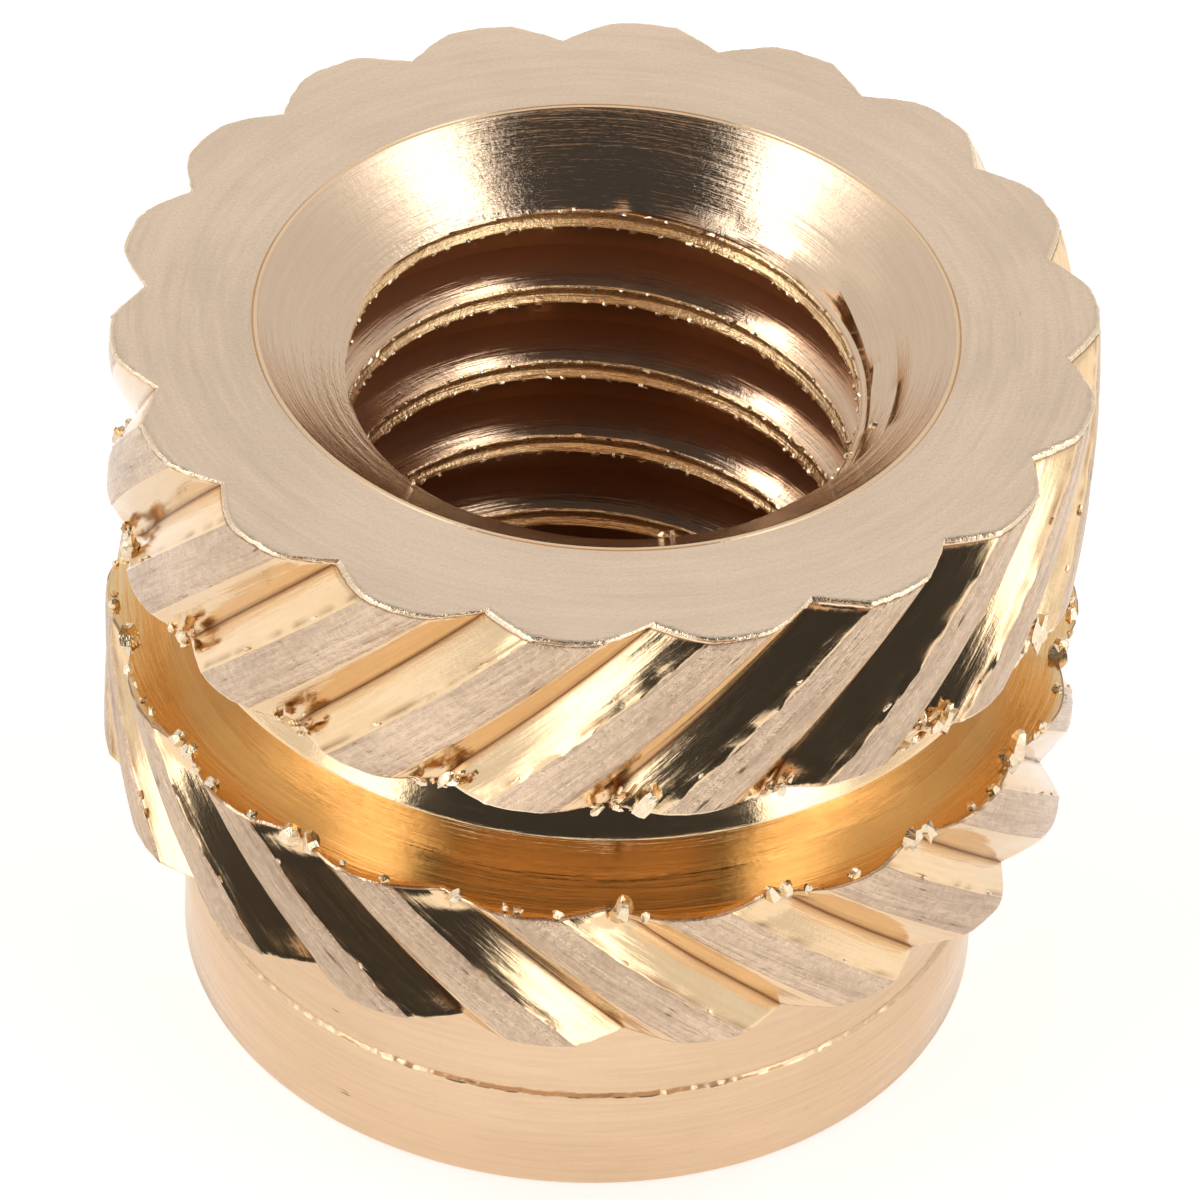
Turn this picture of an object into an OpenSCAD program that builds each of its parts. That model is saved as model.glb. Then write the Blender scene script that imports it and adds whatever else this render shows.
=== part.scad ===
// Heat-set threaded insert
// A turned brass sleeve with a tapped bore. Two knurled bands of opposite hand
// grip the plastic, an undercut waist between them locks the insert against
// pull-out, and a plain pilot guides it into the moulded hole.

/* [Body] */
// Diameter over the knurled lands (mm)
outer_d = 5; // [4.2:0.1:8]
// Height from the pilot end to the flat head face (mm)
height = 4; // [3.4:0.1:10]
// Height of the upper knurled band (mm)
upper_h = 1.12; // [0.6:0.01:1.4]
// Height of the waist between the bands (mm)
waist_h = 0.69; // [0.55:0.01:0.85]
// Height of the lower knurled band (mm)
lower_h = 0.85; // [0.5:0.01:1.05]

/* [Waist] */
// Radial depth of the waist wall below the lands (mm)
waist_depth = 0.33; // [0.2:0.01:0.4]
// Radial depth of the undercut just below the upper band (mm)
undercut_depth = 0.55; // [0.45:0.01:0.6]
// Height of the sloping part of the undercut (mm)
undercut_h = 0.41; // [0.2:0.01:0.5]

/* [Pilot] */
// Radial step from the knurled lands in to the upper pilot (mm)
pilot_step = 0.46; // [0.2:0.01:0.5]
// Height of the slightly larger end of the pilot (mm)
guide_h = 0.59; // [0.2:0.01:0.62]
// Radial ledge between the two turned diameters of the pilot (mm)
guide_ledge = 0.02; // [0.01:0.01:0.05]
// Edge break round the pilot end (mm)
end_break = 0.02; // [0.01:0.01:0.1]

/* [Bore] */
// Bore diameter at the thread crests (mm)
bore_d = 2.58; // [2:0.01:2.8]
// Diameter of the countersink in the head face (mm)
sink_d = 3.52; // [3.2:0.01:3.7]
// Depth of the countersink in the head face (mm)
sink_depth = 0.3; // [0.1:0.01:0.6]
// Diameter of the countersink at the pilot end (mm)
exit_d = 3; // [2.9:0.01:3.2]
// Depth of the countersink at the pilot end (mm)
exit_depth = 0.2; // [0.1:0.01:0.4]

/* [Knurl] */
// Number of grooves round each band
grooves = 18; // [12:1:24]
// Depth of each V groove (mm)
groove_depth = 0.155; // [0.08:0.005:0.18]
// Width of each V groove round the circumference (mm)
groove_w = 0.5; // [0.3:0.01:0.55]
// Depth to which the edges of each land are eased (mm)
ease_depth = 0.015; // [0.005:0.005:0.03]
// Width of the eased edge of a land (mm)
ease_w = 0.1; // [0.05:0.01:0.14]
// Angle of the upper grooves from the axis, right hand (degrees)
upper_angle = 44; // [20:1:50]
// Angle of the lower grooves from the axis, left hand (degrees)
lower_angle = 50; // [20:1:50]
// Turn of the upper grooves at the head face (degrees)
upper_phase = -2.5; // [-20:0.5:20]
// Turn of the lower grooves at the waist ledge (degrees)
lower_phase = -6.5; // [-20:0.5:20]

/* [Hidden] */

outer_r = outer_d / 2;
waist_r = outer_r - waist_depth;
undercut_r = outer_r - undercut_depth;
pilot_r = outer_r - pilot_step;
guide_r = pilot_r + guide_ledge;
bore_r = bore_d / 2;

// Heights of the shoulders, measured from the pilot end
upper_z = height - upper_h;
lower_top_z = upper_z - waist_h;
lower_z = lower_top_z - lower_h;

// Knurl cutters run past the band by this much at both ends and outside it
overrun = 0.05;
// Steps along each helical groove
groove_steps = 10;

brass = [0.82, 0.68, 0.47];
$fn = 120;

// Half section of the turned blank, bored through
module turned_blank() {
    rotate_extrude()
        polygon([
            [exit_d / 2, 0],
            [guide_r - end_break, 0],
            [guide_r, end_break],
            [guide_r, guide_h],
            [pilot_r, guide_h + guide_ledge],
            [pilot_r, lower_z],
            [outer_r, lower_z],
            [outer_r, lower_top_z],
            [waist_r, lower_top_z],
            [waist_r, upper_z - undercut_h],
            [undercut_r, upper_z],
            [outer_r, upper_z],
            [outer_r, height],
            [sink_d / 2, height],
            [bore_r, height - sink_depth],
            [bore_r, exit_depth],
        ]);
}

// Point at radius r, a distance w round the blank's surface
function on_blank(r, w) =
    let (a = w / outer_r * 180 / PI) [r * cos(a), r * sin(a)];

// Ring of helical V cutters with flared lips for a band of height h.
// hand is 1 for right hand and -1 for left hand; phase is the turn at the
// top of the band.
module v_cutters(h, angle, hand, phase) {
    turn_per_mm = hand * tan(angle) / outer_r * 180 / PI;
    land_w = 2 * PI * outer_r / grooves - groove_w;
    eased_w = min(ease_w, 0.35 * land_w);
    knee_w = groove_w / 2 * (1 - ease_depth / groove_depth);
    // the eased edge crosses the blank's surface at its full width
    slope = ease_depth / (groove_w / 2 + eased_w - knee_w);
    skin = 0.005;
    full_h = h + 2 * overrun;
    half = [
        [outer_r - ease_depth, knee_w],
        [outer_r + skin, knee_w + (ease_depth + skin) / slope],
        [outer_r + overrun, knee_w + (ease_depth + skin) / slope],
    ];

    rotate(phase - turn_per_mm * (h + overrun))
        translate([0, 0, -overrun])
            linear_extrude(height = full_h, twist = -turn_per_mm * full_h,
                           slices = groove_steps, convexity = 8, $fn = 3)
                for (i = [0:grooves - 1])
                    rotate(i * 360 / grooves)
                        polygon(concat(
                            [on_blank(outer_r - groove_depth, 0)],
                            [for (p = half) on_blank(p[0], p[1])],
                            [for (k = [2:-1:0]) on_blank(half[k][0], -half[k][1])]
                        ));
}

// The insert: turned blank with both knurled bands cut into it
module insert() {
    color(brass)
        difference() {
            turned_blank();
            translate([0, 0, upper_z])
                v_cutters(upper_h, upper_angle, 1, upper_phase);
            translate([0, 0, lower_z])
                v_cutters(lower_h, lower_angle, -1, lower_phase);
        }
}

insert();
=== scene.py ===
"""Brass heat-set threaded insert on a pale floor, seen from 40 degrees above."""
import math

import bmesh
import bpy
import numpy as np
from mathutils import Matrix, Vector


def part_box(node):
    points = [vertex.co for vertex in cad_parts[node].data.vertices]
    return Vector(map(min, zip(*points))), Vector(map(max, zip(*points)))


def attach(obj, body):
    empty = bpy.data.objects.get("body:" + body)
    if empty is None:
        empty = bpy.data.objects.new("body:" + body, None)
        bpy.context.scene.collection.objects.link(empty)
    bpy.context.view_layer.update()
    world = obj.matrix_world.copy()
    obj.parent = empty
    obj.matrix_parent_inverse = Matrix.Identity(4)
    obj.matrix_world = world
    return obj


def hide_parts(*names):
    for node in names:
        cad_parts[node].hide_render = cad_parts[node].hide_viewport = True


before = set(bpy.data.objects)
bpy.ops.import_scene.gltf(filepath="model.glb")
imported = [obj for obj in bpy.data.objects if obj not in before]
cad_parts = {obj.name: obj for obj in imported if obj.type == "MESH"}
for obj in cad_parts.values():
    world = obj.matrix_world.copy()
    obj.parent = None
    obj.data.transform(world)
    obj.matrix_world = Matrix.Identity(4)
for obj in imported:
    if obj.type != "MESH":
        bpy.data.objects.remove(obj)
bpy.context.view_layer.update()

# ---------------------------------------------------------------- sizes (mm)
# Angles are in degrees. An azimuth runs from the front of the part towards +X.
lo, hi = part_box("insert")
R = (hi[0] - lo[0]) / 2 * 1000  # over the knurled lands
H = hi[2] * 1000  # pilot end to head face
UPPER_H, WAIST_H, LOWER_H = 1.12, 0.69, 0.85
UPPER_Z = H - UPPER_H  # underside of the upper band
LEDGE_Z = UPPER_Z - WAIST_H  # top of the lower band
LOWER_Z = LEDGE_Z - LOWER_H  # underside of the lower band

WAIST_R = R - 0.33  # at the foot of the undercut cone
WAIST_LEAN = 0.026  # the waist wall is this much smaller at the ledge
LEAN_H = 0.24  # the lean would be complete this far below the cone
UNDERCUT_R = R - 0.55
UNDERCUT_H = 0.425

PILOT_R = R - 0.46
GUIDE_R = R - 0.44  # the slightly larger end of the pilot
GUIDE_H = 0.59
END_BREAK = 0.02
FOOT_BEVEL = 0.02  # where the pilot meets the lower band

SINK_R, SINK_DEPTH = 1.75, 0.30
MOUTH_Z = H - 0.0045  # the edge of the countersink is broken
EXIT_R, EXIT_DEPTH = 1.50, 0.20  # countersink at the pilot end
CREST_R = 1.29
THREAD_DEPTH = 0.212
PITCH = 0.5
CREST_AT_BACK = H - 0.375  # height of the first whole crest at the back of the bore

GROOVES = 18
SPACING = 360 / GROOVES
GROOVE_DEPTH = 0.152
HALF_GROOVE = 5.75
UPPER_VALLEY, UPPER_TURN = 7.5, -24.8  # a groove's azimuth at the band's top, and its turn
LOWER_VALLEY, LOWER_TURN = -16.5, 23.2
SKIN = 0.004  # the crowns of the lands lie this much inside the box
CROWN = 0.016  # how far a land falls from its crown to its edges
NEAR_BOX = 0.0002  # nothing comes closer to the box than this


# ------------------------------------------------------------ small formulas
def hashed(i, j, seed):
    """A fixed number from -1 to 1 for each pair of whole numbers."""
    n = (i * 374761393 + j * 668265263 + seed * 1274126177) & 0xFFFFFFFF
    n = ((n ^ (n >> 13)) * 1103515245) & 0xFFFFFFFF
    return ((n ^ (n >> 16)) & 0xFFFF) / 32767.5 - 1


def noise(x, y=0.0, seed=0):
    """Value noise from -1 to 1."""
    x, y = np.broadcast_arrays(np.asarray(x, float), np.asarray(y, float))
    i, j = np.floor(x).astype(np.int64), np.floor(y).astype(np.int64)
    f, g = x - i, y - j
    f, g = f * f * (3 - 2 * f), g * g * (3 - 2 * g)
    a = hashed(i, j, seed) * (1 - f) + hashed(i + 1, j, seed) * f
    b = hashed(i, j + 1, seed) * (1 - f) + hashed(i + 1, j + 1, seed) * f
    return a * (1 - g) + b * g


def step(a, b, x):
    """0 below a, 1 above b and smooth between."""
    t = np.clip((x - a) / (b - a), 0, 1)
    return t * t * (3 - 2 * t)


def hump(x, middle, width):
    """1 at the middle, falling off to both sides."""
    return np.exp(-(((x - middle) / width) ** 2))


def between(a, b, t):
    return a * (1 - t) + b * t


def soft_min(a, b, k):
    """The smaller of a and b, with the corner between them rounded off by k."""
    t = np.clip(0.5 + 0.5 * (a - b) / k, 0, 1)
    return a * (1 - t) + b * t - k * t * (1 - t)


def soft_max(a, b, k):
    return -soft_min(-a, -b, k)


# --------------------------------------------------------------- mesh store
TOP, RIM, LAND, FLANK, TURNED, WAIST, BORE, CREST, CURL, RAG = range(10)
GRAIN_STRETCH = 0.12  # the finish's grain runs this much slower along the grain than across
COLLAPSED = 1e-9  # mm2; a face this small is left out
verts, faces, mats, flows, painted_light_masks = [], [], [], [], []  # one entry for each surface
caps = []  # the ends of the burrs: (points, triangles, slot)


def point(phi, r, z):
    a = np.radians(phi)
    return np.stack(np.broadcast_arrays(r * np.sin(a), -r * np.cos(a), z), -1)


def sheet(p, flow, mat, wrap=True, painted_light_mask=None):
    """Adds a surface. p and flow are (rows, columns, 3); mat is one slot, or an array of slots
    that fits the faces; mask is the share of the painted shade or highlight tone at each point."""
    rows, cols = p.shape[:2]
    i = np.arange(rows - 1)[:, None]
    j = np.arange(cols if wrap else cols - 1)[None, :]
    k = (j + 1) % cols
    quads = np.stack([i * cols + j, (i + 1) * cols + j, (i + 1) * cols + k, i * cols + k], -1)
    quads = quads.reshape(-1, 4)
    slots = np.broadcast_to(np.asarray(mat), (rows - 1, j.shape[1])).reshape(-1)
    points = p.reshape(-1, 3)
    diagonals = points[quads[:, 2]] - points[quads[:, 0]], points[quads[:, 3]] - points[quads[:, 1]]
    whole = np.linalg.norm(np.cross(*diagonals), axis=1) > COLLAPSED
    quads = quads[whole]
    faces.append(quads)
    verts.append(points)
    mats.append(slots[whole])
    flows.append(flow.reshape(-1, 3)[quads])
    painted_light_masks.append(np.zeros(quads.shape) if painted_light_mask is None else painted_light_mask.reshape(-1)[quads])


# ---------------------------------------------------------- knurled outside
# The columns of one groove and half of each land beside it crowd round the groove's edge.
half = np.array([0.3, 0.9, 1.5, 2.1, 2.7, 3.3, 3.9, 4.5, 5.0, 5.4, 5.75, 6.1, 6.6, 7.3, 8.2, 9.1])
one_groove = np.concatenate([-half[::-1], [0], half, [SPACING / 2]])
across = np.tile(one_groove, GROOVES)  # degrees from the nearest valley
groove = np.repeat(np.arange(GROOVES), len(one_groove))  # number of that valley
azimuths = SPACING * groove + across
COLUMNS = len(across)
column_mat = np.where(np.abs(across) < HALF_GROOVE + 0.1, FLANK, LAND)

RAGGED = 0.35  # degrees that the ragged side tears into the wall of the V
EASE = 0.03  # rounds the corner between land and wall
HEAVY_RAG, LIGHT_RAG = 0.030, 0.006  # metal pushed up along the two edges of a land
PIT = 0.006

# Torn bead left round the rim of a band when its face was turned: (down, in) for each row
BEAD = (
    (0.0, 0.020), (0.003, 0.010), (0.008, 0.003), (0.014, 0.0), (0.020, 0.003), (0.027, 0.008),
    (0.036, 0.003),
)
BEAD_END = 5  # the row at which the rim's finish gives way to the walls'
BEAD_TEAR, BEAD_SAG = 0.011, 0.010
END_ROWS = (0.014, 0.005, 0.0)  # the last rows of a band, up from its underside


def along(per_degree, per_groove, per_mm, v, seed):
    """Noise over the knurl. The first three numbers are how fast it changes across a groove, from
    groove to groove and down the band."""
    return noise(across * per_degree + groove * per_groove, v * per_mm, seed)


def groove_wall(v, h, seed, heavy, fills, half_w):
    """Radius of the walls of the V."""
    side, a = np.sign(across), np.abs(across)
    uneven = 1 + 0.6 * noise(groove * 2.9, 0.5, seed + 10)
    shut = (fills[0] * (1 - step(0.0, 0.15, v)) + fills[1] * step(h - 0.12, h, v)) * uneven
    depth = GROOVE_DEPTH * (1 + 0.05 * noise(groove * 7.3, v * 0.8, seed + 3)) * (1 - shut)
    tear = noise(groove * 5.1 + side * 2, v * 18, seed + 2) * (side == heavy) * step(4.0, 5.5, a)
    wall = R - SKIN - CROWN - depth * (1 - (a + RAGGED * tear) / half_w)
    # lengthwise ridges left by the knurling tool, fainter on the heavy side
    ridge = 0.0040 * along(1.1, 17.3, 0.5, v, seed + 4) + 0.0022 * along(2.3, 11.1, 1.1, v, seed + 5)
    ridge = ridge * np.where(side == heavy, 0.35, 1.0)
    return wall + ridge * step(0.2, 1.0, a) * (1 - step(4.4, 5.4, a))


def knurl(v, h, seed, heavy, fills):
    """Radius at each column, v mm down a band of height h. heavy is the side of each groove with
    the ragged burr, 1 or -1. fills are how much of the groove is pushed shut at the band's top
    and foot."""
    side, a = np.sign(across), np.abs(across)
    # the walls of the V wander a little from groove to groove
    half_w = HALF_GROOVE + 0.25 * noise(groove * 3.7 + side, v * 1.4, seed + 1)
    # the land is crowned, dragged along the groove and pitted
    land = R - SKIN - CROWN * ((SPACING / 2 - a) / (SPACING / 2 - half_w)) ** 2
    land = land + 0.0030 * along(0.9, 5.7, 2.2, v, seed + 6)
    land = land - PIT * np.clip(along(1.3, 9.1, 9, v, seed + 7) - 0.25, 0, 1)
    # metal is pushed up along its edges
    rag = np.clip(0.35 + 0.9 * noise(groove * 4.3 + side * 7, v * 24, seed + 8), 0, 1)
    land = land + hump(a, half_w + 0.25, 0.4) * rag * np.where(side == heavy, HEAVY_RAG, LIGHT_RAG)
    wall = groove_wall(v, h, seed, heavy, fills, half_w)
    return np.minimum(soft_min(land, wall, EASE), R - 2 * NEAR_BOX)


def painted_shade_in_creases(n, v, seed, heavy, torn_rim, patch):
    """Share of painted shade in row n: on the lower band's rim bead except in patches, and as a painted
    shadow line at the foot of the upper band's bead; then in the valley of each groove and at the torn foot
    of its ragged edge."""
    if n <= BEAD_END:
        if torn_rim < 1:
            return 0.85 * (1 - step(0.75, 0.95, patch))
        return np.full(COLUMNS, 0.8 if n == BEAD_END else 0.0)
    a = np.abs(across)
    # painted shade in the valley and at the torn foot of the ragged edge
    torn = np.clip(0.3 + noise(groove * 6.1, v * 20, seed + 12), 0, 1) * (np.sign(across) == heavy)
    return np.maximum(0.9 * hump(a, 0, 0.35), 0.85 * torn * hump(a, 5.3, 0.35))


def band(z_top, z_low, valley, turn, rows, seed, heavy, fills, torn_rim):
    """Makes the wall of a knurled band, with torn_rim as the size of its bead, and returns the
    azimuths, radii and heights of its top and foot."""
    h = z_top - z_low
    drops = [torn_rim * down for down, _ in BEAD]
    walls = np.linspace(0.06, h - 0.03, rows - len(BEAD) - len(END_ROWS))
    depths = np.concatenate([drops, walls, [h - up for up in END_ROWS]])
    wild = along(3.1, 37, 1, 0.5, seed + 9)
    patch = 0.35 + 0.65 * step(-0.2, 0.5, along(0.35, 13.7, 1, 0.5, seed + 11))
    p, flow, painted_crease_shade = [], [], []
    for n, v in enumerate(depths):
        r = knurl(v, h, seed, heavy, fills)
        z = np.full(COLUMNS, z_top - v)
        if n < len(BEAD):
            # the bead comes and goes along the rim, and its middle rows are the raggedest
            r = r - torn_rim * BEAD[n][1] * (0.6 + 0.5 * patch)
            r = r + BEAD_TEAR * torn_rim * wild * patch * (0 < n < 5)
            z = z - BEAD_SAG * torn_rim * patch * np.clip(wild, 0, 1) * (0 < n < 4)
        elif n == len(depths) - 1:
            # the underside's edge is worn back
            r = r - 0.009 - 0.004 * along(1.7, 20, 1, 1.5, seed + 9)
        elif n == len(depths) - 2:
            r = r - 0.002
        p.append(point(valley + turn * v / h + azimuths, np.minimum(r, R - NEAR_BOX), z))
        # the grain runs down the grooves
        flow.append(point(azimuths, R, GRAIN_STRETCH * v))
        painted_crease_shade.append(painted_shade_in_creases(n, v, seed, heavy, torn_rim, patch))
    p, flow, painted_crease_shade = np.array(p), np.array(flow), np.array(painted_crease_shade)
    parts = (
        (slice(0, BEAD_END + 1), RIM),
        (slice(BEAD_END, -2), column_mat),
        (slice(-3, None), RIM if torn_rim == 1 else column_mat),
    )
    for part, mat in parts:
        sheet(p[part], flow[part], mat, painted_light_mask=painted_crease_shade[part])
    top, foot = [(np.hypot(row[:, 0], row[:, 1]), row[:, 2]) for row in (p[0], p[-1])]
    return (valley + azimuths, *top), (valley + turn + azimuths, *foot)


upper_top, upper_foot = band(
    H, UPPER_Z, UPPER_VALLEY, UPPER_TURN, 36, seed=100, heavy=1, fills=(0.0, 0.25), torn_rim=1.0
)
ledge_rim, lower_foot = band(
    LEDGE_Z, LOWER_Z, LOWER_VALLEY, LOWER_TURN, 30, seed=300, heavy=-1, fills=(0.4, 0.12), torn_rim=0.5
)


# -------------------------------------------------------------- turned faces
BORE_COLUMNS = 120
even = np.tile(np.linspace(-SPACING / 2, SPACING / 2, len(one_groove), endpoint=False), GROOVES)
even = even + SPACING * groove
a_head = even + UPPER_VALLEY
a_waist = even + UPPER_VALLEY + UPPER_TURN
a_pilot = even + LOWER_VALLEY + LOWER_TURN


def ring(profile, mat):
    """A turned surface. profile is a list of (azimuths, radii, heights), of which the radii and
    the heights may be one number."""
    p, flow = [], []
    for phi, r, z in profile:
        p.append(point(phi, r, z))
        # tool marks run round the axis
        a = np.radians(phi)
        across_marks = r + 1.37 * z + 0.0 * a
        flow.append(np.stack([across_marks, GRAIN_STRETCH * np.cos(a), GRAIN_STRETCH * np.sin(a)], -1))
    sheet(np.array(p), np.array(flow), mat)


def on_bore(phi):
    """The nearest column of the bore, so that a ring and the bore share an edge."""
    return np.round(phi * BORE_COLUMNS / 360) * 360 / BORE_COLUMNS


def out_to(edge, start, shares, z):
    """Rings from a round start, given as (azimuths, radius), out to a band's scalloped edge."""
    rings = [(between(start[0], edge[0], t), between(start[1], edge[1], t), z) for t in shares]
    return rings + [edge]


# head face, from the fine ring that the countersink's tool left out to the scalloped rim
COLLAR = ((0.003, 0.002), (0.006, 0.0), (0.022, 0.0), (0.028, 0.006), (0.034, 0.0))  # (out, down)
COLLAR_R = SINK_R + COLLAR[-1][0]
collar = [(a_head, SINK_R + out, H - down) for out, down in COLLAR]
ring([(on_bore(a_head), SINK_R, MOUTH_Z)] + collar, TURNED)
ring(out_to(upper_top, (a_head, COLLAR_R), (0, 0.4, 0.8, 0.96), H), TOP)

# underside of the upper band, undercut cone, waist wall and ledge
ring([upper_foot, (a_waist, UNDERCUT_R, UPPER_Z)], WAIST)
cone = [(a_waist, between(UNDERCUT_R, WAIST_R, t), UPPER_Z - UNDERCUT_H * t) for t in (0, 0.5, 0.96, 0.985)]
wall_top = (a_waist, WAIST_R, UPPER_Z - UNDERCUT_H - 0.003)
wall = [(a_waist, WAIST_R - WAIST_LEAN * t / LEAN_H, UPPER_Z - UNDERCUT_H - t) for t in (0.007, 0.19)]
ring(cone + [wall_top], FLANK)
ring([wall_top] + wall + [(a_waist, WAIST_R - WAIST_LEAN, LEDGE_Z)], WAIST)
ring(out_to(ledge_rim, (a_waist, WAIST_R - WAIST_LEAN), (0, 0.4, 0.9), LEDGE_Z), WAIST)

# underside of the lower band, and the pilot with its torn ledge
ring([lower_foot, (a_pilot, PILOT_R + FOOT_BEVEL, LOWER_Z), (a_pilot, PILOT_R, LOWER_Z - FOOT_BEVEL)], TURNED)
pilot = []
for r, z in (
    (PILOT_R, LOWER_Z - FOOT_BEVEL), (PILOT_R, GUIDE_H + 0.026), (PILOT_R + 0.010, GUIDE_H + 0.017),
    (GUIDE_R - 0.003, GUIDE_H + 0.012), (GUIDE_R, GUIDE_H + 0.004), (GUIDE_R, END_BREAK),
    (GUIDE_R - 0.006, 0.006), (GUIDE_R - END_BREAK, 0.0),
):
    torn = 0.006 * noise(a_pilot * 1.3, 0.5, 21) + 0.004 * noise(a_pilot * 4.1, z * 90, 22)
    pilot.append((a_pilot, r, z + torn * (GUIDE_H < z < GUIDE_H + 0.03)))
ring(pilot, TURNED)

# ------------------------------------------------------------- threaded bore
# The thread's section from the middle of a crest to the middle of a root: (along the axis, out
# from the crest radius). A torn channel runs along the crest.
SECTION = np.array([
    (0.0, 0.030), (0.010, 0.028), (0.020, 0.021), (0.030, 0.011), (0.040, 0.002), (0.046, -0.001),
    (0.050, 0.0), (0.058, 0.010), (0.066, 0.024), (0.168, THREAD_DEPTH), (PITCH / 2, THREAD_DEPTH),
])
CREST_EDGE = 0.062  # from the middle of a crest to the far side of its torn edge
CREST_HALF_W = 0.056  # faces nearer than this to the middle of a crest take its finish
RUN_OUT, RUN_OUT_FRONT = 0.05, 0.30  # depth of the groove that runs out, and what the front adds
WORN = 0.012  # rounds the edge between cone and thread
HOLLOW = 0.13  # share by which the countersink is steeper at its mouth
LIP, LIP_AT, LIP_W = 0.012, 0.045, 0.016  # torn lips of the crests


def from_crest(h):
    """Height above or below the nearest crest's middle."""
    return np.abs((h + PITCH / 2) % PITCH - PITCH / 2)


def sink_radius(z):
    """The countersink is a little hollow."""
    t = (MOUTH_Z - z) / SINK_DEPTH
    return SINK_R - (SINK_R - CREST_R) * ((1 - HOLLOW) * t + HOLLOW * t * np.clip(t, 0, 1))


def bore_radius(h, z):
    thread = CREST_R + np.interp(from_crest(h), *SECTION.T)
    leave = EXIT_R - z * (EXIT_R - CREST_R) / EXIT_DEPTH
    return soft_max(np.maximum(thread, leave), sink_radius(z), WORN)


def run_out(r, z, phi, over):
    """The thread fades out through the countersink. over is the height above the first whole
    crest's edge. The groove over that crest stays shallow, and ends between 100 and 165 degrees."""
    smooth = np.maximum(sink_radius(z), CREST_R)
    cut = np.where(over < 0, 1.0, np.where(over < PITCH, 1 - step(100, 165, phi), 0.0))
    r = between(smooth, r, cut)
    shallow = smooth + RUN_OUT + RUN_OUT_FRONT * (1 - step(0, 95, phi))
    return np.where(over < 0, r, soft_min(r, shallow, 0.04))


def torn_lips(h, z, phi):
    """What the torn lips take off, between the countersink and the exit."""
    below_sink = 1 - step(H - SINK_DEPTH - 0.03, H - SINK_DEPTH, z)
    above_exit = step(EXIT_DEPTH, EXIT_DEPTH + 0.03, z)
    torn = np.clip(noise(phi % 360 * 0.61, z * 31, 31), 0, 1)
    return LIP * hump(from_crest(h), LIP_AT, LIP_W) * below_sink * above_exit * torn


# rows crowd round the edges of the crest and root
edges = np.concatenate([SECTION[:-1, 0], PITCH - SECTION[:0:-1, 0]])
fill = [e for e in np.arange(0, PITCH, 0.04) if np.min(np.abs(edges - e)) > 0.012]
in_turn = np.sort(np.concatenate([edges, fill]))
turns = math.ceil(H / PITCH) + 2
h = (np.arange(turns)[:, None] * PITCH + in_turn).reshape(-1, 1)
phi = 360 * np.arange(BORE_COLUMNS + 1) / BORE_COLUMNS
at_back = CREST_AT_BACK % PITCH - 2 * PITCH + h
helix = at_back + PITCH * (phi - 180) / 360
z = np.clip(helix, 0, MOUTH_Z)
r = run_out(bore_radius(h, z), z, phi, at_back - CREST_AT_BACK - CREST_EDGE) + torn_lips(h, z, phi)
# the rows past both ends collapse onto the two edges of the bore
r = np.where(helix >= MOUTH_Z, SINK_R, np.where(helix <= 0, EXIT_R, r))
# painted shade on the thread from the first whole crest down, for the light lost between its turns, but
# faint on the flank just over each crest, which shows the sky and not the flank above it; on the crests the
# same share takes a lighter painted highlight
painted_light = step(0.0, 0.02, r - sink_radius(z)) * (at_back < CREST_AT_BACK + CREST_EDGE)
painted_light = painted_light * (1 - 0.85 * hump(np.tile(in_turn, turns)[:, None], 0.080, 0.026))
middles = (in_turn + np.append(in_turn[1:], PITCH)) / 2
on_crest = np.tile(from_crest(middles) < CREST_HALF_W, turns)[:-1, None]
on_crest = on_crest & (at_back[:-1] < CREST_AT_BACK + CREST_EDGE)
a = np.radians(phi)
flow = np.broadcast_arrays(h + 2 * r, GRAIN_STRETCH * np.cos(a), GRAIN_STRETCH * np.sin(a))
sheet(point(phi, r, z), np.stack(flow, -1), np.where(on_crest, CREST, BORE), wrap=False, painted_light_mask=painted_light)
# pilot end face
ring([(a_pilot, GUIDE_R - END_BREAK, 0.0), (on_bore(a_pilot), EXIT_R, 0.0)], TURNED)

# ------------------------------------------------------ burrs left by the knurl
rng = np.random.default_rng(7)
BURR_GAP = 0.0003  # burrs stay this much inside the box
BURR_W = 0.36  # half the width of a burr, as a share of its size
BURR_ROUGH = 0.55
HEAVY_EDGE = 5.5  # degrees from the valley to the ragged edge
# curls on the rim of the ledge: (degrees from the valley, size)
CURLS = ((-0.6, 0.15), (1.8, 0.13), (7.2, 0.08), (-6.5, 0.10), (10, 0.07), (4.2, 0.07))
# burrs on the mouth of the bore: (azimuth, size)
MOUTH_BURRS = ((13, 0.05), (15, 0.045), (52, 0.04), (60, 0.05), (71, 0.06), (-40, 0.03))


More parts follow.
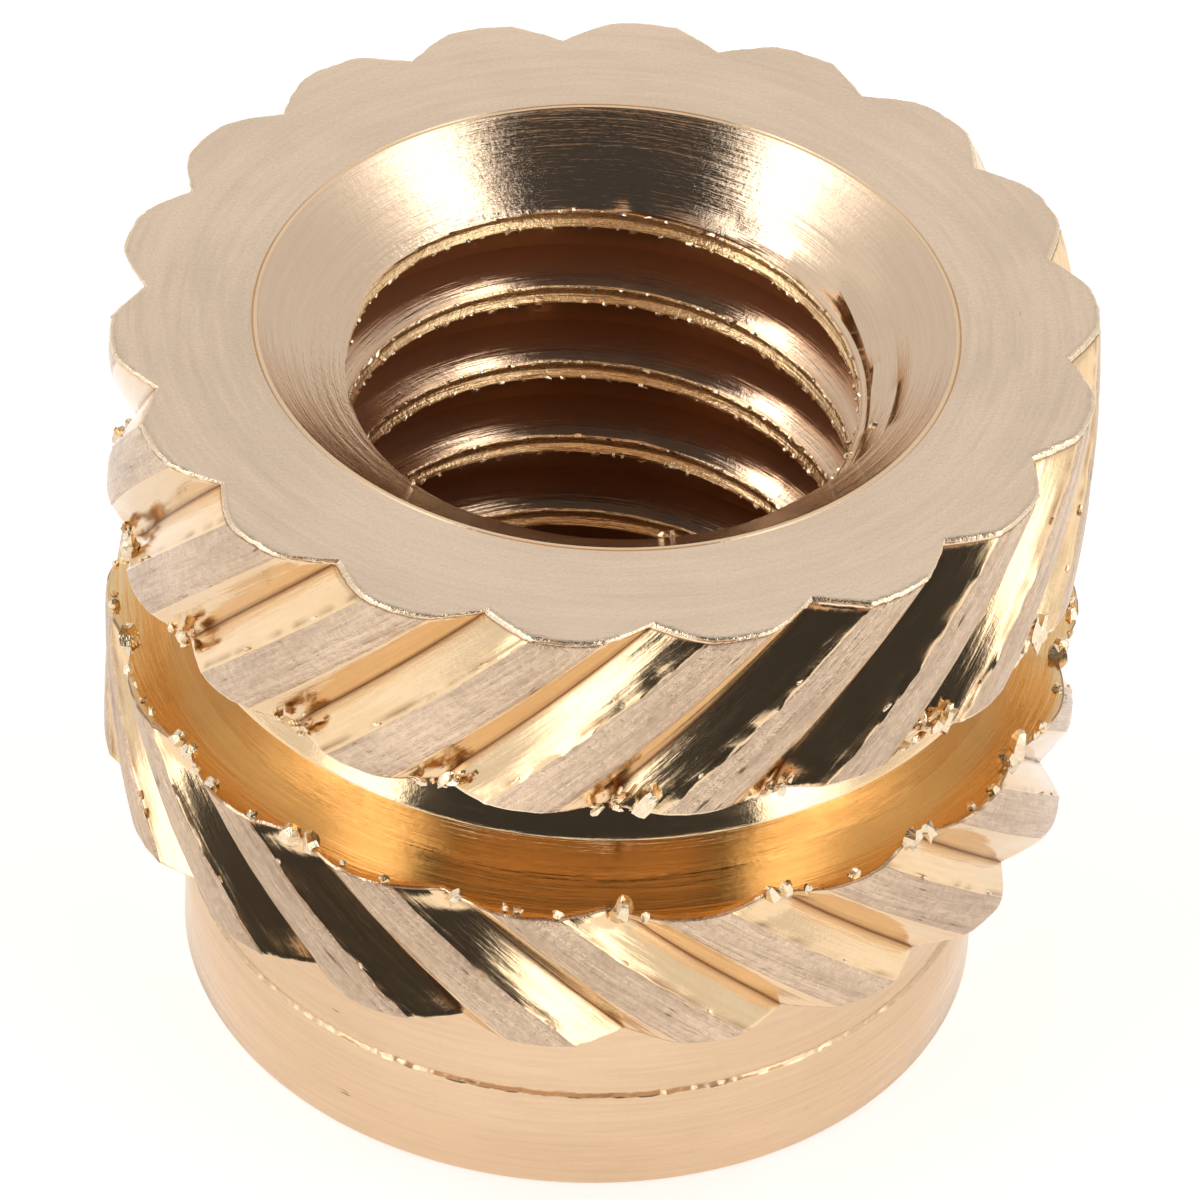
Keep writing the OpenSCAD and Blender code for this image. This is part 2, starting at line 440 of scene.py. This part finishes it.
def chip(phi, r, z, size, stretch=1.0, lean=0.0, mat=CURL, sides=6, rows=4, wall_r=R):
    """A torn bit of metal on a wall of radius wall_r: a small ragged lump, longer by stretch
    along lean (degrees from level)."""
    seed = int(rng.integers(1 << 20))
    around = np.arange(sides) * 2 * math.pi / sides
    c, s = math.cos(math.radians(lean)), math.sin(math.radians(lean))
    p = []
    for k, latitude in enumerate(np.radians(np.linspace(-90, 90, rows + 2)[1:-1])):
        rough = size * (1 + BURR_ROUGH * noise(np.arange(sides) * 0.9, k * 0.8, seed))
        x = np.sin(latitude) * stretch * 0.5 * rough
        y = np.cos(latitude) * np.cos(around) * BURR_W * rough
        out = np.cos(latitude) * np.sin(around) * BURR_W * rough
        level, up = c * x - s * y, s * x + c * y
        radii = np.minimum(r + out, R - BURR_GAP)
        p.append(point(phi + np.degrees(level / wall_r), radii, np.clip(z + up, 0.01, H - BURR_GAP)))
    p = np.array(p)
    sheet(p, p * 0.5, mat)
    for row, turn in ((p[0], 1), (p[-1], -1)):
        fan = [[k, (k + 1) % sides, sides] for k in range(sides)]
        fan = [[b, a, tip] if turn < 0 else [a, b, tip] for a, b, tip in fan]
        caps.append((np.concatenate([row, [row.mean(0)]]), np.array(fan), mat))


def heap_in_groove(k):
    """Torn ends of an upper groove, heaped in the V at the underside."""
    foot = SPACING * k + UPPER_VALLEY + UPPER_TURN
    for n in range(6):
        t = 0.5 * rng.random() ** 1.3
        phi = foot + 5.4 * t + rng.uniform(-1.2, 1.2)
        r = R - 0.085 - 0.04 * t + 0.025 * rng.random()
        size, stretch, lean = rng.uniform(0.035, 0.07), rng.uniform(0.9, 1.8), rng.uniform(10, 75)
        chip(phi, r, UPPER_Z + 0.015 + 0.25 * t, size, stretch, lean, RAG if n % 3 == 0 else CURL)
    for _ in range(2):
        phi, z = foot + rng.uniform(-3, 3), UPPER_Z + rng.uniform(0.01, 0.03)
        chip(phi, R - 0.07, z, rng.uniform(0.04, 0.07), 1.3, rng.uniform(-20, 20))
    if rng.random() < 0.4:
        # a smooth tongue folded over the foot of the groove
        chip(foot + rng.uniform(2.5, 4.5), R - 0.055, UPPER_Z + 0.07, 0.15, 1.1, 60, sides=8, rows=6)


def curls_on_ledge(k):
    """Curls standing on the rim of the ledge round a lower groove."""
    for off, size in CURLS:
        if rng.random() < 0.8:
            phi = SPACING * k + LOWER_VALLEY + off + rng.uniform(-1, 1)
            r = R - 0.05 - 0.045 * (abs(off) < 3)
            z = LEDGE_Z + rng.uniform(-0.02, 0.012)
            chip(phi, r, z, size * rng.uniform(0.7, 1.1), rng.uniform(0.9, 1.3), rng.uniform(40, 130))


def rag_on_edges(k):
    """Fine rag along the heavy edges of an upper and a lower groove."""
    for _ in range(2):
        t = rng.uniform(0.2, 0.9)
        phi = SPACING * k + UPPER_VALLEY + UPPER_TURN * t + HEAVY_EDGE
        chip(phi, R - 0.03, H - UPPER_H * t, rng.uniform(0.02, 0.035), 1.8, 44)
        phi = SPACING * k + LOWER_VALLEY + LOWER_TURN * t - HEAVY_EDGE
        chip(phi, R - 0.03, LEDGE_Z - LOWER_H * t, rng.uniform(0.02, 0.035), 1.8, 130)


def chips_on_crest(turn, side):
    """Torn edge of a turn of the thread: its upper one where side is 1, its lower where -1."""
    phi = 4.0 * rng.random()
    while phi < 360:
        z = CREST_AT_BACK - turn * PITCH + PITCH * (phi - 180) / 360 + side * 0.05
        if z < H - SINK_DEPTH:
            z = z + rng.uniform(-0.006, 0.006)
            size, stretch, lean = rng.uniform(0.014, 0.042), rng.uniform(0.9, 1.8), rng.uniform(-25, 25)
            chip(phi, CREST_R + 0.002, z, size, stretch, lean, sides=5, rows=3, wall_r=CREST_R)
        phi += rng.uniform(2.0, 7.0)


for k in range(GROOVES):
    heap_in_groove(k)
    curls_on_ledge(k)
    rag_on_edges(k)
for turn in range(4):
    for side in (-1, 1):
        chips_on_crest(turn, side)
for phi, size in MOUTH_BURRS:
    chip(phi, 1.43, H - 0.205, size, 1.2, 20)


# ---------------------------------------------------------------- the object
MM = 0.001
WELD = 2e-7  # metres; points this near each other become one
SHARP = math.radians(27)  # edges that turn more than this stay sharp


def numbered(face_lists, point_lists, start=0):
    """All the faces as one array, with each surface's points counted on from the last's."""
    starts = start + np.cumsum([0] + [len(points) for points in point_lists])
    return np.concatenate([indices + first for indices, first in zip(face_lists, starts)])


def weld(mesh):
    """Joins the surfaces where they meet, and turns their normals outward."""
    bm = bmesh.new()
    bm.from_mesh(mesh)
    bmesh.ops.remove_doubles(bm, verts=bm.verts, dist=WELD)
    bmesh.ops.dissolve_degenerate(bm, edges=bm.edges, dist=WELD / 4)
    bmesh.ops.recalc_face_normals(bm, faces=bm.faces)
    for face in bm.faces:
        face.smooth = True
    for edge in bm.edges:
        edge.smooth = len(edge.link_faces) == 2 and edge.calc_face_angle(math.pi) < SHARP
    bm.to_mesh(mesh)
    bm.free()


def make_mesh():
    mesh = bpy.data.meshes.new("insert_turned")
    cap_points, fans, cap_mats = zip(*caps)
    quads = numbered(faces, verts)
    tris = numbered(fans, cap_points, sum(len(v) for v in verts))
    points = np.concatenate(verts + list(cap_points)) * MM
    mesh.from_pydata(points.tolist(), [], quads.tolist() + tris.tolist())
    slots = np.concatenate(mats + [np.full(len(fan), mat) for fan, mat in zip(fans, cap_mats)])
    mesh.polygons.foreach_set("material_index", slots.astype(np.int32))
    # flow is the place along the grain, and the second attribute the share of the painted shade or highlight
    # tone, both for each corner
    flow = np.concatenate([f.reshape(-1, 3) for f in flows] + [np.zeros((tris.size, 3))])
    painted_light_share = np.concatenate([m.reshape(-1) for m in painted_light_masks] + [np.zeros(tris.size)])
    attribute = mesh.attributes.new("flow", "FLOAT_VECTOR", "CORNER")
    attribute.data.foreach_set("vector", flow.astype(np.float32).reshape(-1))
    attribute = mesh.attributes.new("painted_light_share", "FLOAT", "CORNER")
    attribute.data.foreach_set("value", painted_light_share.astype(np.float32))
    mesh.update()
    weld(mesh)
    return mesh


mesh = make_mesh()
insert = bpy.data.objects.new("insert_turned", mesh)
bpy.context.scene.collection.objects.link(insert)


# ---------------------------------------------------------------- materials
class Nodes:
    """Short names for building a node tree. A value is a socket, a number or a colour."""

    def __init__(self, tree):
        self.tree = tree
        tree.nodes.clear()

    def new(self, kind, **values):
        node = self.tree.nodes.new(kind)
        for key, value in values.items():
            setattr(node, key, value)
        return node

    def put(self, socket, value):
        if isinstance(value, bpy.types.NodeSocket):
            self.tree.links.new(value, socket)
        elif value is not None:
            socket.default_value = value

    def math(self, operation, a, b=None, clamp=False):
        node = self.new("ShaderNodeMath", operation=operation, use_clamp=clamp)
        self.put(node.inputs[0], a)
        self.put(node.inputs[1], b)
        return node.outputs[0]

    def add(self, first, *others):
        for other in others:
            first = self.math("ADD", first, other)
        return first

    def mul(self, first, *others):
        for other in others:
            first = self.math("MULTIPLY", first, other)
        return first

    def ramp(self, x, a, b, low=0.0, high=1.0):
        """low where x is below a, high where it is above b, and smooth between."""
        node = self.new("ShaderNodeMapRange", interpolation_type="SMOOTHSTEP")
        for socket, value in zip(node.inputs, (x, a, b, low, high)):
            self.put(socket, value)
        return node.outputs[0]

    def window(self, x, a, b, c, d):
        """1 where x is between b and c, falling to 0 at a and d."""
        return self.mul(self.ramp(x, a, b), self.ramp(x, c, d, 1, 0))

    def noise(self, place, scale, detail=2.0, rough=0.5):
        node = self.new("ShaderNodeTexNoise")
        self.put(node.inputs["Vector"], place)
        node.inputs["Scale"].default_value = scale
        node.inputs["Detail"].default_value = detail
        node.inputs["Roughness"].default_value = rough
        return node.outputs["Fac"]

    def mix(self, share, a, b):
        node = self.new("ShaderNodeMix", data_type="RGBA")
        self.put(node.inputs["Factor"], share)
        colours = [socket for socket in node.inputs if socket.type == "RGBA"]
        self.put(colours[0], (*a, 1) if isinstance(a, tuple) else a)
        self.put(colours[1], (*b, 1) if isinstance(b, tuple) else b)
        return [socket for socket in node.outputs if socket.type == "RGBA"][0]


BLOT_SCALE, PIT_SCALE = 900.0, 6000.0  # noise scales in metres, as those of speckle are
# dark spots painted in place of pits: painted shade
PIT_SHADE_COLOUR = (0.22, 0.13, 0.07)


# The default painted tone is a dark painted shade, laid in the knurl's creases and along the rims of the
# bands.
def metal(name, colour, dark, rough, grain, bump, aniso=0.0, speckle=(30000, 0.3),
          painted_light=(0.30, 0.15, 0.07), rough_where_painted=0.3, sparkle=0.0, pitted=0.70, spread=0.25, dull=0.0):
    """Brass with its grain along the flow attribute.

    colour and dark are its light and dark tones. grain is (scale across the flow, detail), bump
    (strength, distance) and speckle (scale, share of the height). Its painted tone, where the mask
    attribute is 1, is painted shade, and on the crests a painted highlight; sparkle is extra bump
    strength and dull its matt share there. pitted is the level above which dark pits are painted
    as shade, and spread the turn of the anisotropy."""
    mat = bpy.data.materials.new(name)
    mat.use_nodes = True
    n = Nodes(mat.node_tree)
    out = n.new("ShaderNodeOutputMaterial")
    bsdf = n.new("ShaderNodeBsdfPrincipled")
    flow = n.new("ShaderNodeAttribute", attribute_name="flow").outputs["Vector"]
    painted_light_share = n.new("ShaderNodeAttribute", attribute_name="painted_light_share").outputs["Fac"]
    place = n.new("ShaderNodeTexCoord").outputs["Object"]

    lines = n.noise(flow, grain[0], grain[1], 0.6)
    coarse = n.noise(flow, grain[0] * 0.3)
    blots = n.noise(place, BLOT_SCALE, 3.0, 0.6)
    fine = n.noise(place, speckle[0], 2.0, 0.7)
    height = n.add(n.mul(lines, 1 - speckle[1]), n.mul(fine, speckle[1]))

    tone = n.add(n.mul(n.ramp(height, 0.35, 0.65), 0.4), n.mul(n.ramp(blots, 0.35, 0.7), 0.25))
    tone = n.math("ADD", tone, n.mul(n.ramp(coarse, 0.35, 0.7), 0.2), clamp=True)
    # painted shade: dark spots where pits would be
    pit_shade = n.mul(n.add(lines, n.noise(place, PIT_SCALE, 1.0)), 0.5)
    base = n.mix(n.ramp(pit_shade, pitted, pitted + 0.04), n.mix(tone, colour, dark), PIT_SHADE_COLOUR)
    n.put(bsdf.inputs["Base Color"], n.mix(painted_light_share, base, painted_light))
    n.put(bsdf.inputs["Metallic"], n.math("SUBTRACT", 1.0, n.mul(painted_light_share, dull)) if dull else 1.0)

    wear = n.add(n.mul(lines, 0.6), n.mul(blots, 0.4))
    wear = n.ramp(wear, 0.35, 0.65, rough * 0.8, rough * 1.2)
    n.put(bsdf.inputs["Roughness"], n.add(wear, n.mul(painted_light_share, rough_where_painted - rough)))

    relief = n.new("ShaderNodeBump")
    n.put(relief.inputs["Strength"], n.add(bump[0], n.mul(painted_light_share, sparkle)) if sparkle else bump[0])
    relief.inputs["Distance"].default_value = bump[1]
    n.put(relief.inputs["Height"], n.add(height, n.mul(coarse, 0.8)))
    n.put(bsdf.inputs["Normal"], relief.outputs[0])
    if aniso:
        bsdf.inputs["Anisotropic"].default_value = aniso
        bsdf.inputs["Anisotropic Rotation"].default_value = spread
        tangent = n.new("ShaderNodeTangent", direction_type="RADIAL", axis="Z")
        n.put(bsdf.inputs["Tangent"], tangent.outputs[0])
    n.put(out.inputs["Surface"], bsdf.outputs[0])
    return mat


BORE_TONES = dict(colour=(0.79, 0.59, 0.42), dark=(0.69, 0.51, 0.35), rough=0.12, grain=(34, 4), aniso=0.5)
FINISHES = {
    TOP: dict(name="brass_faced", colour=(0.79, 0.615, 0.45), dark=(0.66, 0.505, 0.37), rough=0.28,
              grain=(30, 4), bump=(0.6, 5e-6), aniso=0.5, speckle=(52000, 0.8), spread=0.0),
    # The rim's lighter brass is a painted highlight that stands in for the glints of the torn bead.
    RIM: dict(name="brass_rim_painted_highlight", colour=(0.92, 0.76, 0.56), dark=(0.80, 0.60, 0.40), rough=0.26,
              grain=(60, 4), bump=(0.8, 6e-6), speckle=(60000, 0.6)),
    LAND: dict(name="brass_land", colour=(0.81, 0.61, 0.44), dark=(0.40, 0.285, 0.19), rough=0.28,
               grain=(36, 5), bump=(1.0, 27e-6), speckle=(24000, 0.45), pitted=0.63),
    FLANK: dict(name="brass_flank", colour=(0.84, 0.625, 0.39), dark=(0.74, 0.51, 0.28), rough=0.13,
                grain=(40, 4), bump=(0.35, 6e-6)),
    TURNED: dict(name="brass_turned", colour=(0.78, 0.57, 0.375), dark=(0.69, 0.49, 0.31), rough=0.22,
                 grain=(34, 4), bump=(0.5, 5e-6), aniso=0.6, speckle=(40000, 0.3)),
    WAIST: dict(name="brass_waist", colour=(0.79, 0.56, 0.30), dark=(0.70, 0.47, 0.23), rough=0.12,
                grain=(34, 4), bump=(0.7, 6e-6), aniso=0.7, speckle=(30000, 0.1)),
    # In the bore the tone where the mask is 1 is a dark red-brown painted shade, for the light lost between
    # the turns of the thread.
    BORE: dict(name="brass_bore", **BORE_TONES, bump=(0.5, 6e-6), painted_light=(0.54, 0.26, 0.12),
               rough_where_painted=0.10, sparkle=-0.35, dull=0.3),
    # On the crests the tone where the mask is 1 is a lighter gold painted highlight.
    CREST: dict(name="brass_crest", **BORE_TONES, bump=(0.6, 9e-6), speckle=(30000, 0.5),
                painted_light=(0.90, 0.64, 0.35), rough_where_painted=0.16, sparkle=0.7, dull=0.12),
    # Curls and rag are light and dark copies of the same torn brass: a painted highlight and a painted shade.
    CURL: dict(name="brass_curl_painted_highlight", colour=(0.94, 0.82, 0.62), dark=(0.66, 0.48, 0.28), rough=0.2,
               grain=(60, 4), bump=(0.8, 8e-6), speckle=(40000, 0.5)),
    RAG: dict(name="brass_rag_painted_shade", colour=(0.82, 0.55, 0.31), dark=(0.52, 0.29, 0.13), rough=0.22,
              grain=(60, 4), bump=(0.8, 8e-6), speckle=(40000, 0.5)),
}
for slot in range(len(FINISHES)):
    mesh.materials.append(metal(**FINISHES[slot]))

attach(insert, "root")
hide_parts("insert")


# --------------------------------------------------------------------- floor
FLOOR_HALF = 1.5  # metres
FLOOR_DROP = 2e-6  # keeps the floor clear of the pilot end
FLOOR_PAINT = 0.8
FLOOR_GLOW = 0.5  # added to the paint where the floor is seen or mirrored, so that it shows white
GLOW_FROM, GLOW_FULL = 0.0015, 0.0020  # metres from the axis; there is no glow under the part


def make_floor():
    mesh = bpy.data.meshes.new("floor")
    corners = [(-1, -1), (1, -1), (1, 1), (-1, 1)]
    mesh.from_pydata([(FLOOR_HALF * x, FLOOR_HALF * y, -FLOOR_DROP) for x, y in corners], [], [(0, 1, 2, 3)])
    floor = bpy.data.objects.new("floor", mesh)
    bpy.context.scene.collection.objects.link(floor)
    mat = bpy.data.materials.new("floor_white")
    mat.use_nodes = True
    mesh.materials.append(mat)
    n = Nodes(mat.node_tree)
    out = n.new("ShaderNodeOutputMaterial")
    paint = n.new("ShaderNodeBsdfDiffuse")
    paint.inputs["Color"].default_value = (FLOOR_PAINT, FLOOR_PAINT, FLOOR_PAINT, 1)
    glow = n.new("ShaderNodeEmission")
    glow.inputs["Color"].default_value = (1, 1, 1, 1)
    path = n.new("ShaderNodeLightPath").outputs
    seen = n.add(path["Is Camera Ray"], path["Is Glossy Ray"])
    seen = n.math("ADD", seen, path["Is Transmission Ray"], clamp=True)
    length = n.new("ShaderNodeVectorMath", operation="LENGTH")
    n.put(length.inputs[0], n.new("ShaderNodeTexCoord").outputs["Object"])
    # the glow fades out under the part: a painted shadow of the part, seen in reflections inside the bore
    clear = n.ramp(length.outputs["Value"], GLOW_FROM, GLOW_FULL)
    n.put(glow.inputs["Strength"], n.mul(seen, FLOOR_GLOW, clear))
    both = n.new("ShaderNodeAddShader")
    n.put(both.inputs[0], paint.outputs[0])
    n.put(both.inputs[1], glow.outputs[0])
    n.put(out.inputs["Surface"], both.outputs[0])


# -------------------------------------------------------------------- studio
# Brightness, where 1 is white
BOX = 0.88
HOT_LOW, HOT_HIGH = 1.8, 0.2  # what the hot strip adds at its foot and at its top
HIGH_LAMP = 2.1  # what the high lamp adds
SPOT = 8
REAR_WALL, REAR_MIDDLE = 0.74, 0.2
CEILING_EDGE, CEILING = 0.045, 0.062
CARD = 0.8
CARD_COLOUR = (1.0, 0.68, 0.46)
BOX_TOP = 1.82, 2.0  # height over distance to the side, where a box fades out


def make_studio():
    """Studio round the part, nearly the same on both sides: a tall soft box on each side, a pale wall
    behind, a warm card in front, and the unlit room in front and overhead. Below the horizon it
    is white, as the floor is. An azimuth here runs from the front to either side."""
    world = bpy.data.worlds.new("studio")
    bpy.context.scene.world = world
    world.use_nodes = True
    n = Nodes(world.node_tree)
    out = n.new("ShaderNodeOutputWorld")
    split = n.new("ShaderNodeSeparateXYZ")
    n.put(split.inputs[0], n.new("ShaderNodeTexCoord").outputs["Generated"])
    x, y, z = split.outputs
    azimuth = n.math("DEGREES", n.math("ARCTAN2", n.math("ABSOLUTE", x), n.mul(y, -1.0)))
    elevation = n.math("DEGREES", n.math("ARCSINE", z))

    # the boxes end at a height that grows with the distance to the side
    aside = n.math("ABSOLUTE", n.math("SUBTRACT", x, n.mul(z, 0.03)))
    steep = n.math("DIVIDE", n.math("MAXIMUM", z, 0.0), n.math("MAXIMUM", aside, 1e-4))
    box = n.mul(n.window(azimuth, 41, 47, 100, 125), n.ramp(steep, *BOX_TOP, 1, 0))
    # each box has a hot strip at its front edge and a bright lamp high at the side
    hot = n.mul(n.ramp(azimuth, 57, 71, 1, 0), n.ramp(elevation, 24, 42, HOT_LOW, HOT_HIGH))
    high = n.mul(n.ramp(azimuth, 50, 62, 0.3, 1), n.ramp(elevation, 36, 56, 0, HIGH_LAMP))
    high = n.mul(high, n.ramp(azimuth, 85, 110, 1, 0.4))
    # a small lamp hangs over each box and lights the thread
    spot = n.mul(n.window(azimuth, 88, 95, 102, 110), n.window(elevation, 56, 61, 66, 70), SPOT)
    rear = n.add(n.ramp(azimuth, 100, 125, 0, REAR_WALL), n.ramp(azimuth, 158, 178, 0, REAR_MIDDLE))
    rear = n.mul(rear, n.ramp(elevation, 50, 75, 1, 0))
    ceiling = n.ramp(elevation, 60, 72, CEILING_EDGE, CEILING)
    level = n.add(n.mul(box, n.add(BOX, hot, high)), rear, spot, ceiling)
    low = n.ramp(elevation, -14, -8, 1, 0)
    level = n.add(n.mul(level, n.math("SUBTRACT", 1.0, low)), low)
    card = n.mul(n.ramp(azimuth, 34, 42, 1, 0), n.window(elevation, 27, 33, 53, 61))

    background = n.new("ShaderNodeBackground")
    n.put(background.inputs["Color"], n.mix(card, (1, 1, 1), CARD_COLOUR))
    n.put(background.inputs["Strength"], n.add(level, n.mul(card, CARD)))
    n.put(out.inputs["Surface"], background.outputs[0])


make_floor()
make_studio()
bpy.context.scene.view_settings.view_transform = "Standard"

# -------------------------------------------------------------------- camera
LENS, SENSOR = 327.4, 36  # mm
CAMERA_ELEVATION, CAMERA_ROLL = 0.7029, 0.05097  # radians
CAMERA_DISTANCE = 0.05587  # metres
TARGET = Vector((0, 0, 0.00225))
AIM_RIGHT, AIM_UP = 0.0000369, -0.0000606  # metres from the target to what the camera faces


def make_camera():
    data = bpy.data.cameras.new("camera")
    camera = bpy.data.objects.new("camera", data)
    bpy.context.scene.collection.objects.link(camera)
    bpy.context.scene.camera = camera
    data.sensor_width = SENSOR
    data.lens = LENS
    data.clip_start, data.clip_end = 0.005, 10
    back = Vector((0, -math.cos(CAMERA_ELEVATION), math.sin(CAMERA_ELEVATION)))
    eye = TARGET + back * CAMERA_DISTANCE
    right = Vector((1, 0, 0))
    aim = TARGET + AIM_RIGHT * right + AIM_UP * back.cross(right)
    ahead = (aim - eye).normalized()
    right = ahead.cross(Vector((0, 0, 1))).normalized()
    turn = Matrix((right, right.cross(ahead), -ahead)).transposed().to_4x4()
    roll = Matrix.Rotation(CAMERA_ROLL, 4, "Z")
    camera.matrix_world = Matrix.Translation(eye) @ turn @ roll


make_camera()
